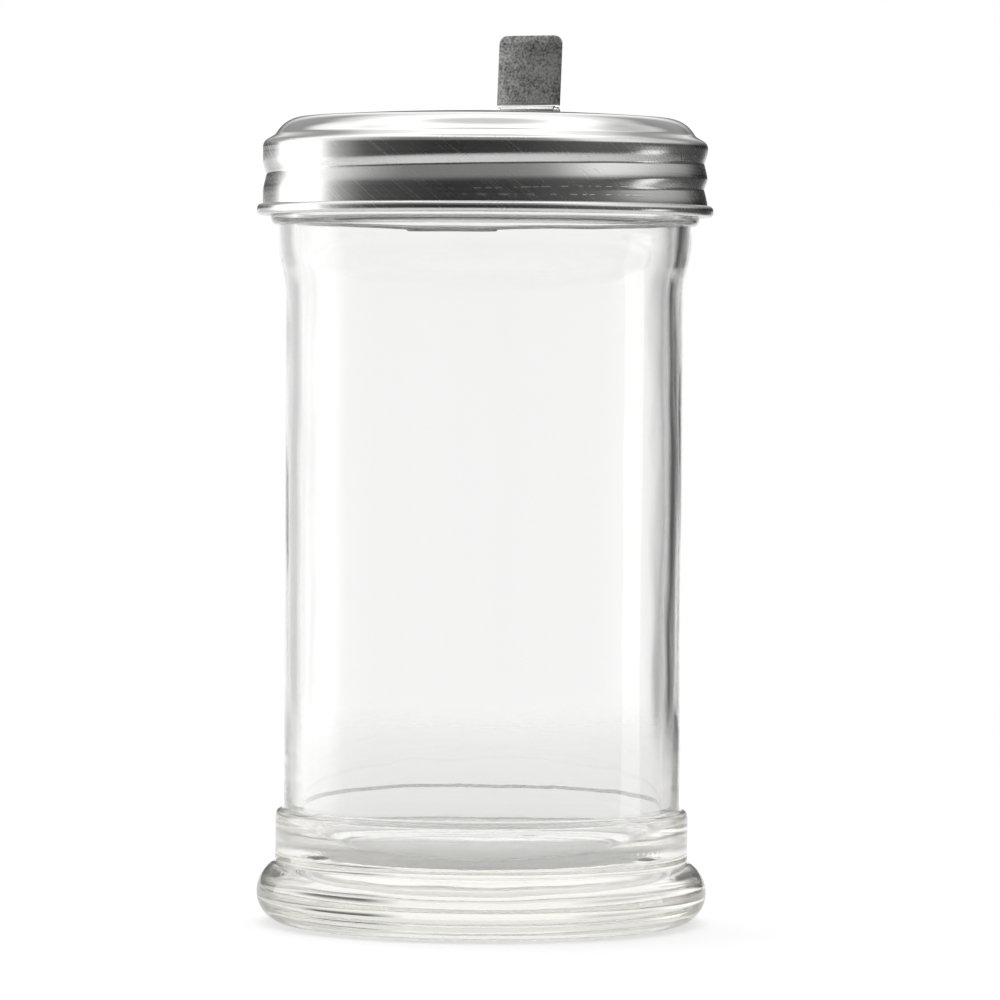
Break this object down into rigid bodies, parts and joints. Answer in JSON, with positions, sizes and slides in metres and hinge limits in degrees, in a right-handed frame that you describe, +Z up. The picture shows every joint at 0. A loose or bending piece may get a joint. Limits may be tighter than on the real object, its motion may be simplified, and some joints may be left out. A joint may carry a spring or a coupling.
{
  "type": "sugar dispenser",
  "caption": "Straight glass jar with a rounded foot and a screw-on steel lid, whose hinged flap covers a pour opening and carries an upright thumb tab.",
  "frame": {"origin": "middle of the flat ring that the jar stands on", "axes": "+Z up along the jar's axis, +Y towards the pour opening, the thumb tab faces -Y"},
  "size_m": [0.076, 0.076, 0.1485],
  "materials": {
    "clear_glass": "clear, fire polished",
    "lid_steel": "polished crown, finely brushed skirt",
    "seal": "soft, matt",
    "flap_steel": "satin",
    "pin_steel": "drawn wire, riveted ends"
  },
  "bodies": {
    "jar": {"jar": "clear_glass"},
    "sealing_ring": {"sealing_ring": "seal"},
    "lid": {"lid": "lid_steel", "hinge_pin": "pin_steel"},
    "flap": {"flap": "flap_steel"}
  },
  "joints": [
    {"name": "lid_lift", "type": "slide", "parent": "jar", "child": "sealing_ring", "axis": [0, 0, 1], "range_m": [0, 0.0038]},
    {"name": "lid_turn", "type": "hinge", "parent": "sealing_ring", "child": "lid", "pos_m": [0, 0, 0.1287], "axis": [0, 0, 1], "range_deg": [0, 310]},
    {"name": "flap_swing", "type": "hinge", "parent": "lid", "child": "flap", "pos_m": [0, 0.0179, 0.13566], "axis": [1, 0, 0], "range_deg": [0, 82]}
  ],
  "couplings": [
    {"joint": "lid_lift", "follows": "lid_turn", "m_per_rad": 0.00068437}
  ]
}
